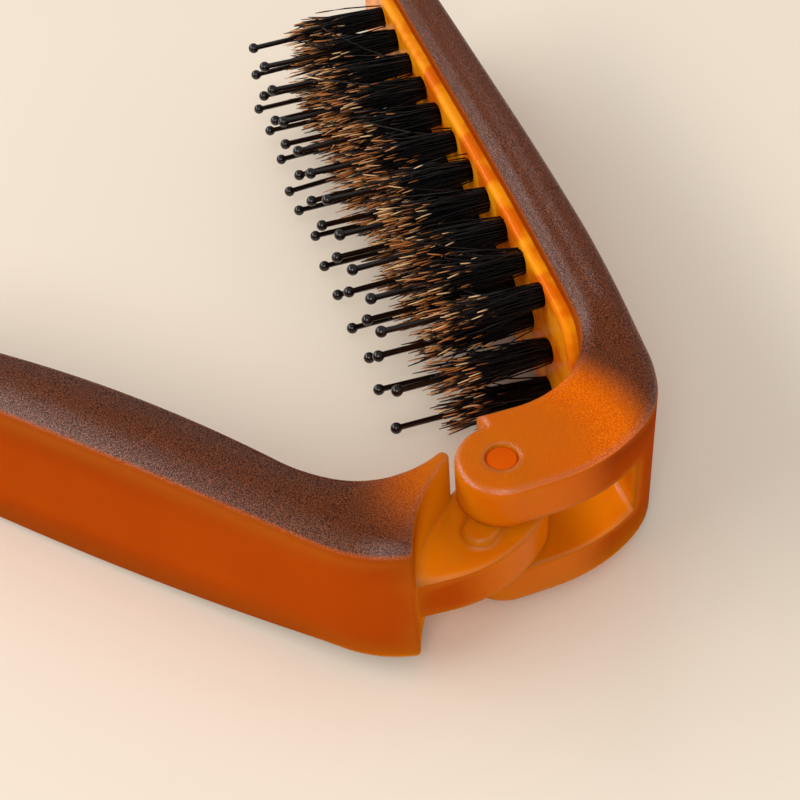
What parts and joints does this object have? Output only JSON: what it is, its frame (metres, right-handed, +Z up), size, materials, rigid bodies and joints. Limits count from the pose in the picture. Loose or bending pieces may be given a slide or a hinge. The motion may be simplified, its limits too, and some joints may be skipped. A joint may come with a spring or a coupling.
{
  "type": "folding travel brush",
  "caption": "Pocket hair brush that folds at a pinned hinge: amber bristle head with ball-ended pins in the tufts, and a flat handle that closes over them.",
  "frame": {"origin": "on the handle's lower flat side, under the middle of the grip, where the brush lies on its side", "axes": "+X along the handle towards the hinge, +Y away from the handle's back towards the open head, +Z up, parallel to the hinge axis"},
  "size_m": [0.1317, 0.1218, 0.027],
  "materials": {
    "handle_plastic": "translucent amber, fine frosted grain on the sides",
    "frame_plastic": "translucent amber, fine frosted grain on the outside",
    "pad_plastic": "clear amber, smooth",
    "pin_plastic": "translucent amber, smooth",
    "bristle": "black bristle bundles with pale split tips",
    "ball_pin_nylon": "black, glossy",
    "anchor_wire": "flat drawn wire"
  },
  "bodies": {
    "handle": {"handle": "handle_plastic"},
    "head": {"head_frame": "frame_plastic", "bristle_pad": "pad_plastic", "hinge_pin": "pin_plastic", "tuft_top_01": "bristle", "tuft_top_02": "bristle", "tuft_top_03": "bristle", "tuft_top_04": "bristle", "tuft_top_05": "bristle", "tuft_top_06": "bristle", "tuft_top_07": "bristle", "tuft_top_08": "bristle", "tuft_top_09": "bristle", "tuft_top_10": "bristle", "tuft_top_11": "bristle", "tuft_middle_01": "bristle", "tuft_middle_02": "bristle", "tuft_middle_03": "bristle", "tuft_middle_04": "bristle", "tuft_middle_05": "bristle", "tuft_middle_06": "bristle", "tuft_middle_07": "bristle", "tuft_middle_08": "bristle", "tuft_middle_09": "bristle", "tuft_middle_10": "bristle", "tuft_middle_11": "bristle", "tuft_middle_12": "bristle", "tuft_bottom_01": "bristle", "tuft_bottom_02": "bristle", "tuft_bottom_03": "bristle", "tuft_bottom_04": "bristle", "tuft_bottom_05": "bristle", "tuft_bottom_06": "bristle", "tuft_bottom_07": "bristle", "tuft_bottom_08": "bristle", "tuft_bottom_09": "bristle", "tuft_bottom_10": "bristle", "tuft_bottom_11": "bristle", "tuft_bottom_12": "bristle", "ball_pins_top": "ball_pin_nylon", "ball_pins_middle": "ball_pin_nylon", "ball_pins_bottom": "ball_pin_nylon", "tuft_anchors_top": "anchor_wire", "tuft_anchors_middle": "anchor_wire", "tuft_anchors_bottom": "anchor_wire"}
  },
  "joints": [
    {"name": "fold", "type": "hinge", "parent": "handle", "child": "head", "pos_m": [0.085, 0.0176, 0.0135], "axis": [0, 0, -1], "range_deg": [-44.16, 135.84]}
  ]
}
